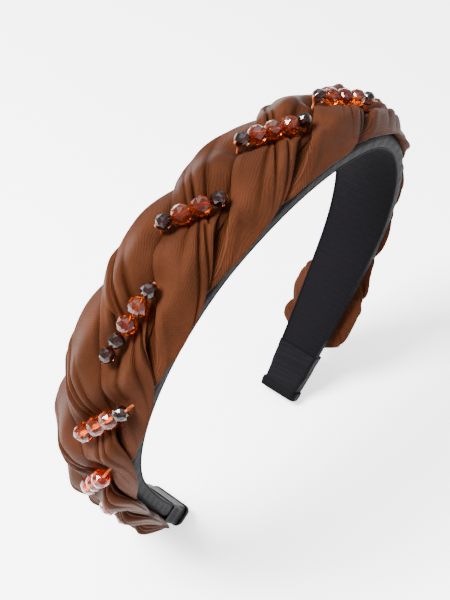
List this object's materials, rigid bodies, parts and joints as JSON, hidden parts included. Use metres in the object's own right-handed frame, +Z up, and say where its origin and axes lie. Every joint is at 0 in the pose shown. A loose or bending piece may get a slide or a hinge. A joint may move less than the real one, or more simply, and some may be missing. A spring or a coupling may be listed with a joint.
{
  "type": "headband",
  "caption": "Padded arched headband with a satin-covered sprung hoop, a three-strand fabric twist over the outside, faceted bead rows and sleeved tips.",
  "frame": {"origin": "centre of the footprint of the two tips, on the surface that the tips stand on", "axes": "+X from the left arm to the right arm, +Y across the band towards its back edge, +Z up to the crown"},
  "size_m": [0.1727, 0.0324, 0.1541],
  "materials": {
    "lining": "smooth matt woven lining",
    "hoop": "moulded spring plastic",
    "pad": "open foam sheet",
    "cover": "black woven satin",
    "twist": "shot copper-brown satin, fine weave, soft sheen",
    "thread": "waxed beading thread",
    "bead": "faceted amber glass, polished",
    "sleeve": "black satin ribbon",
    "hem": "folded black satin ribbon"
  },
  "bodies": {
    "left_half": {"lining_left": "lining", "hoop_left": "hoop", "pad_left": "pad", "cover_left": "cover", "strand_a_left": "twist", "strand_b_left": "twist", "strand_c_left": "twist", "bead_thread_left": "thread", "tip_sleeve_left": "sleeve", "sleeve_hem_left": "hem"},
    "right_half": {"lining_right": "lining", "hoop_right": "hoop", "pad_right": "pad", "cover_right": "cover", "strand_a_right": "twist", "strand_b_right": "twist", "strand_c_right": "twist", "bead_thread_right": "thread", "tip_sleeve_right": "sleeve", "sleeve_hem_right": "hem"},
    "beads_01": {"bead_row_01": "bead"},
    "beads_02": {"bead_row_02": "bead"},
    "beads_03": {"bead_row_03": "bead"},
    "beads_04": {"bead_row_04": "bead"},
    "beads_05": {"bead_row_05": "bead"},
    "beads_06": {"bead_row_06": "bead"},
    "beads_07": {"bead_row_07": "bead"},
    "beads_08": {"bead_row_08": "bead"},
    "beads_09": {"bead_row_09": "bead"},
    "beads_10": {"bead_row_10": "bead"},
    "beads_11": {"bead_row_11": "bead"},
    "beads_12": {"bead_row_12": "bead"},
    "beads_13": {"bead_row_13": "bead"}
  },
  "joints": [
    {"name": "hoop_flex", "type": "hinge", "parent": "left_half", "child": "right_half", "pos_m": [0.01968, 0, 0.15109], "axis": [0, -1, 0], "range_deg": [0, 26], "stiffness_Nm_per_rad": 1},
    {"name": "bead_spin_01", "type": "hinge", "parent": "left_half", "child": "beads_01", "pos_m": [-0.06562, -0.0024, 0.0318], "axis": [-0.4461, -0.4067, 0.7972], "continuous": true},
    {"name": "bead_spin_02", "type": "hinge", "parent": "left_half", "child": "beads_02", "pos_m": [-0.07469, -0.0032, 0.04916], "axis": [-0.3928, -0.4226, 0.8168], "continuous": true},
    {"name": "bead_spin_03", "type": "hinge", "parent": "left_half", "child": "beads_03", "pos_m": [-0.0825, -0.004, 0.0714], "axis": [-0.1463, -0.4695, 0.8708], "continuous": true},
    {"name": "bead_spin_04", "type": "hinge", "parent": "left_half", "child": "beads_04", "pos_m": [-0.08146, -0.0046, 0.09836], "axis": [0.1982, -0.5878, 0.7844], "continuous": true},
    {"name": "bead_spin_05", "type": "hinge", "parent": "left_half", "child": "beads_05", "pos_m": [-0.0676, -0.0012, 0.12516], "axis": [0.6487, -0.1045, 0.7538], "continuous": true},
    {"name": "bead_spin_06", "type": "hinge", "parent": "left_half", "child": "beads_06", "pos_m": [-0.03875, 0.002, 0.14465], "axis": [0.829, -0.4848, 0.2789], "continuous": true},
    {"name": "bead_spin_07", "type": "hinge", "parent": "left_half", "child": "beads_07", "pos_m": [0, 0.0025, 0.15106], "axis": [0.9397, -0.342, 0], "continuous": true},
    {"name": "bead_spin_08", "type": "hinge", "parent": "right_half", "child": "beads_08", "pos_m": [0.03875, 0.0008, 0.14465], "axis": [0.8907, -0.342, -0.2996], "continuous": true},
    {"name": "bead_spin_09", "type": "hinge", "parent": "right_half", "child": "beads_09", "pos_m": [0.0676, -0.0008, 0.12516], "axis": [0.627, -0.2756, -0.7286], "continuous": true},
    {"name": "bead_spin_10", "type": "hinge", "parent": "right_half", "child": "beads_10", "pos_m": [0.08146, 0.0014, 0.09836], "axis": [0.2238, -0.4067, -0.8857], "continuous": true},
    {"name": "bead_spin_11", "type": "hinge", "parent": "right_half", "child": "beads_11", "pos_m": [0.0825, -0.0012, 0.0714], "axis": [-0.1557, -0.342, -0.9267], "continuous": true},
    {"name": "bead_spin_12", "type": "hinge", "parent": "right_half", "child": "beads_12", "pos_m": [0.07469, 0.001, 0.04916], "axis": [-0.4144, -0.2924, -0.8618], "continuous": true},
    {"name": "bead_spin_13", "type": "hinge", "parent": "right_half", "child": "beads_13", "pos_m": [0.06562, 0, 0.0318], "axis": [-0.4588, -0.342, -0.8201], "continuous": true}
  ]
}
